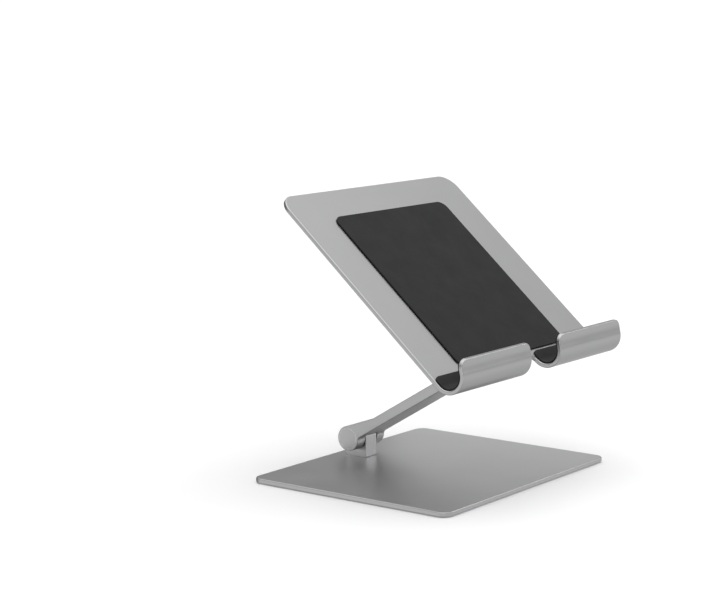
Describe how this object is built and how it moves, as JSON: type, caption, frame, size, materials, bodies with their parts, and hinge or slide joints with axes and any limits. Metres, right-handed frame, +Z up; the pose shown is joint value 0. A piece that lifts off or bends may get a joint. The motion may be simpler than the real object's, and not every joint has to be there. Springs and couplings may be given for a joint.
{
  "type": "folding tablet stand",
  "caption": "Flat metal base with a friction-hinged arm that carries a tilting bent-sheet plate, whose lower edge curls forward into two hooks that hold a tablet.",
  "frame": {"origin": "on the table top, in the middle of the stand's width, halfway between the front of the hooks and the rear edge of the base", "axes": "+X to the right of a person who faces the stand, +Y away from them, +Z up"},
  "size_m": [0.172, 0.1502, 0.1706],
  "materials": {
    "anodised": "fine bead-blasted satin anodising, silver grey",
    "silicone": "matt black, soft",
    "steel": "plain machined",
    "nylon": "moulded, black",
    "bronze": "sintered bearing bronze"
  },
  "bodies": {
    "base": {"base_plate": "anodised", "foot_pad_front_left": "silicone", "foot_pad_front_right": "silicone", "foot_pad_rear_left": "silicone", "foot_pad_rear_right": "silicone", "hinge_post": "anodised", "post_screw_1": "steel", "post_screw_2": "steel", "post_bush": "bronze"},
    "arm": {"arm": "anodised", "lower_bolt": "steel", "lower_nut": "steel", "lower_disc_spring": "steel", "lower_friction_washer_left": "nylon", "lower_friction_washer_right": "nylon", "lower_cap_left": "anodised", "lower_cap_right": "anodised", "upper_bolt": "steel", "upper_nut": "steel", "upper_disc_spring": "steel", "upper_friction_washer_left": "nylon", "upper_friction_washer_right": "nylon", "upper_cap_left": "anodised", "upper_cap_right": "anodised"},
    "holder": {"holder_plate": "anodised", "holder_block": "anodised", "holder_bush": "bronze", "block_screw_1": "steel", "block_screw_2": "steel", "hook_liner_left": "silicone", "hook_liner_right": "silicone", "plate_pad": "silicone"}
  },
  "joints": [
    {"name": "arm_hinge", "type": "hinge", "parent": "base", "child": "arm", "pos_m": [0, 0.0589, 0.0157], "axis": [-1, 0, 0], "range_deg": [-29.4, 24]},
    {"name": "holder_hinge", "type": "hinge", "parent": "arm", "child": "holder", "pos_m": [0, -0.04, 0.07536], "axis": [1, 0, 0], "range_deg": [-71.9, 18.1]}
  ]
}
